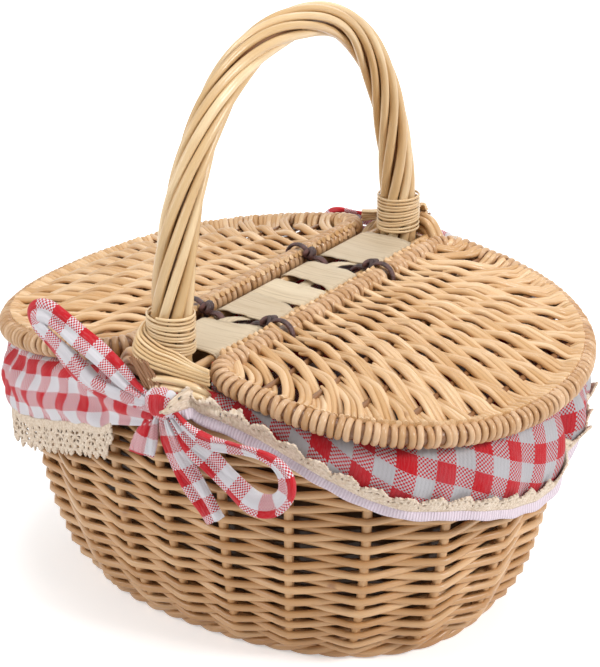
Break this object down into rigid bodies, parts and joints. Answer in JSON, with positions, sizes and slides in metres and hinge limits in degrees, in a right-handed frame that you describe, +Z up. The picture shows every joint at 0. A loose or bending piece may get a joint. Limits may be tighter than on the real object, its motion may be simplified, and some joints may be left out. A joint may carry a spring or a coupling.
{
  "type": "pie basket",
  "caption": "Oval woven willow basket with hinged half lids, a fixed arched handle over a splint bridge, and a gingham cloth liner with lace edging and ribbon bows.",
  "frame": {"origin": "on the floor under the middle of the basket, at the centre of the flat underside of the base border", "axes": "+X along the long side across both lids, +Y along the handle's plane towards the rear foot of the handle, +Z up"},
  "size_m": [0.33, 0.2829, 0.3231],
  "materials": {
    "willow_body": "varnished willow, golden brown",
    "willow_lid": "varnished willow, honey",
    "willow_handle": "varnished willow, yellow honey",
    "splint": "pale flat wood splint, matt",
    "leather": "dark brown leather cord",
    "gingham": "red and white woven gingham cotton",
    "lace": "cream crochet lace"
  },
  "bodies": {
    "basket": {"base_border": "willow_body", "base_weave": "willow_body", "wall_weave": "willow_body", "wale_lower": "willow_body", "wale_upper": "willow_body", "rim_border": "willow_lid", "handle_core": "willow_handle", "handle_rod_1": "willow_handle", "handle_rod_2": "willow_handle", "handle_rod_3": "willow_handle", "handle_rod_4": "willow_handle", "handle_rod_5": "willow_handle", "handle_rod_6": "willow_handle", "handle_rod_7": "willow_handle", "handle_rod_8": "willow_handle", "binding_front": "willow_handle", "binding_rear": "willow_handle", "bridge_rail_left": "splint", "bridge_rail_right": "splint", "bridge_strip": "splint", "bridge_splint_1": "splint", "bridge_splint_2": "splint", "bridge_splint_3": "splint", "bridge_splint_4": "splint", "bridge_splint_5": "splint", "hinge_tie_front": "leather", "hinge_tie_rear": "leather", "liner_bag": "gingham", "liner_skirt_left": "gingham", "liner_skirt_right": "gingham", "bow_front_knot": "gingham", "bow_front_loop_left": "gingham", "bow_front_loop_right": "gingham", "bow_front_tail_long": "gingham", "bow_front_tail_short": "gingham", "bow_rear_knot": "gingham", "bow_rear_loop_left": "gingham", "bow_rear_loop_right": "gingham", "bow_rear_tail_long": "gingham", "bow_rear_tail_short": "gingham", "lace_left": "lace", "lace_right": "lace", "hem_right": "lace"},
    "lid_left": {"lid_left_bar": "willow_lid", "lid_left_hoop": "willow_lid", "lid_left_weave": "willow_lid", "lid_left_rib_1": "willow_lid", "lid_left_rib_2": "willow_lid", "lid_left_rib_3": "willow_lid", "lid_left_rib_4": "willow_lid", "lid_left_rib_5": "willow_lid"},
    "lid_right": {"lid_right_bar": "willow_lid", "lid_right_hoop": "willow_lid", "lid_right_weave": "willow_lid", "lid_right_rib_1": "willow_lid", "lid_right_rib_2": "willow_lid", "lid_right_rib_3": "willow_lid", "lid_right_rib_4": "willow_lid", "lid_right_rib_5": "willow_lid"}
  },
  "joints": [
    {"name": "lid_left_hinge", "type": "hinge", "parent": "basket", "child": "lid_left", "pos_m": [-0.0276, 0, 0.165], "axis": [0, 1, 0], "range_deg": [0, 100]},
    {"name": "lid_right_hinge", "type": "hinge", "parent": "basket", "child": "lid_right", "pos_m": [0.0276, 0, 0.165], "axis": [0, -1, 0], "range_deg": [0, 100]}
  ]
}
